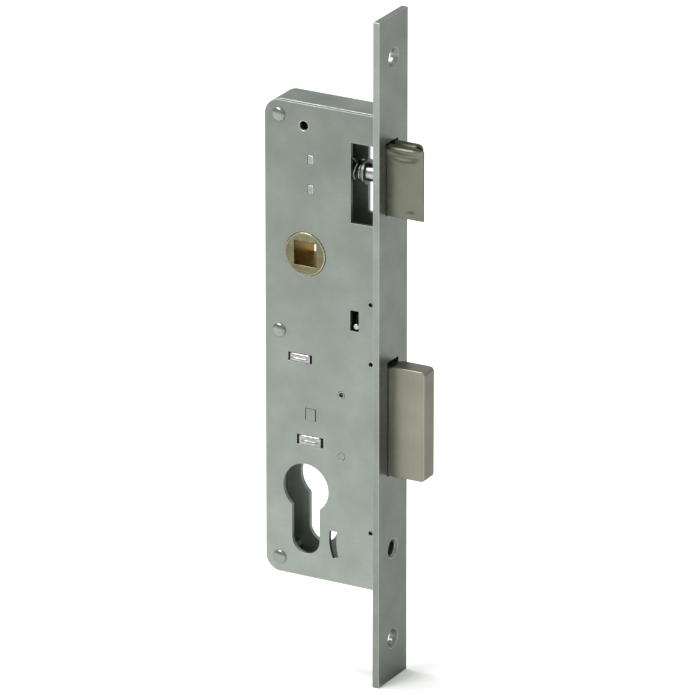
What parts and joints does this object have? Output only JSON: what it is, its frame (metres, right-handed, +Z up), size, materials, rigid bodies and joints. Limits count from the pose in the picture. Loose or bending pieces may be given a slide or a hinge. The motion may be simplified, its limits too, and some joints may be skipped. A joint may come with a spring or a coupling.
{
  "type": "mortise lock",
  "caption": "Narrow-stile mortise lock with a sprung latch, spindle follower and deadbolt, bored for a profile cylinder.",
  "frame": {"origin": "on the bare back face of the faceplate just above the case, midway across its width", "axes": "+X the way the bolts point, out of the door's edge; -Y out of the case cover; +Z up the faceplate"},
  "size_m": [0.0595, 0.02, 0.24],
  "materials": {
    "faceplate_zinc": "zinc plated, brushed",
    "case_zinc": "zinc plated sheet",
    "nickel": "nickel plated, satin",
    "brass": "machined",
    "bare_steel": "zinc plated pressings",
    "spring_steel": "bright wire"
  },
  "bodies": {
    "case": {"faceplate": "faceplate_zinc", "case_body": "case_zinc", "case_cover": "case_zinc", "case_post_top": "case_zinc", "case_post_middle": "case_zinc", "case_post_bottom": "case_zinc", "bolt_rail": "bare_steel", "bolt_stop": "bare_steel", "bolt_pad_near": "bare_steel", "bolt_pad_far": "bare_steel", "spring_anchor": "bare_steel", "bar_stud_upper": "bare_steel", "bar_stud_lower": "bare_steel", "latch_guide": "bare_steel"},
    "latch": {"latch_head": "nickel", "latch_shank": "nickel", "latch_collar": "bare_steel", "latch_yoke": "bare_steel", "latch_spring": "spring_steel"},
    "follower": {"follower_hub": "brass", "follower_cam": "bare_steel"},
    "lift": {"lift_bar": "bare_steel"},
    "deadbolt": {"deadbolt_head": "nickel", "deadbolt_tail": "bare_steel", "deadbolt_pin_upper": "bare_steel", "deadbolt_pin_lower": "bare_steel"},
    "detent": {"detent_lever": "bare_steel", "detent_stud": "bare_steel", "detent_spring": "spring_steel"}
  },
  "joints": [
    {"name": "latch_slide", "type": "slide", "parent": "case", "child": "latch", "axis": [-1, 0, 0], "range_m": [0, 0.0125], "stiffness_N_per_m": 350, "springref_m": -0.012, "deforming": ["latch_spring"]},
    {"name": "follower_turn", "type": "hinge", "parent": "case", "child": "follower", "pos_m": [-0.0275, 0, -0.062], "axis": [0, -1, 0], "range_deg": [0, 39]},
    {"name": "lift_slide", "type": "slide", "parent": "case", "child": "lift", "axis": [0, 0, 1], "range_m": [0, 0.00801]},
    {"name": "deadbolt_slide", "type": "slide", "parent": "case", "child": "deadbolt", "axis": [-1, 0, 0], "range_m": [0, 0.014]},
    {"name": "detent_turn", "type": "hinge", "parent": "case", "child": "detent", "pos_m": [-0.0376, 0, -0.0912], "axis": [0, -1, 0], "range_deg": [0, 7.37], "deforming": ["detent_spring"]}
  ],
  "couplings": [
    {"joint": "follower_turn", "follows": "latch_slide", "rad_per_m": 54.453},
    {"joint": "lift_slide", "follows": "latch_slide", "ratio": 0.6408},
    {"joint": "detent_turn", "follows": "deadbolt_slide", "rad_per_m": 9.1801}
  ]
}
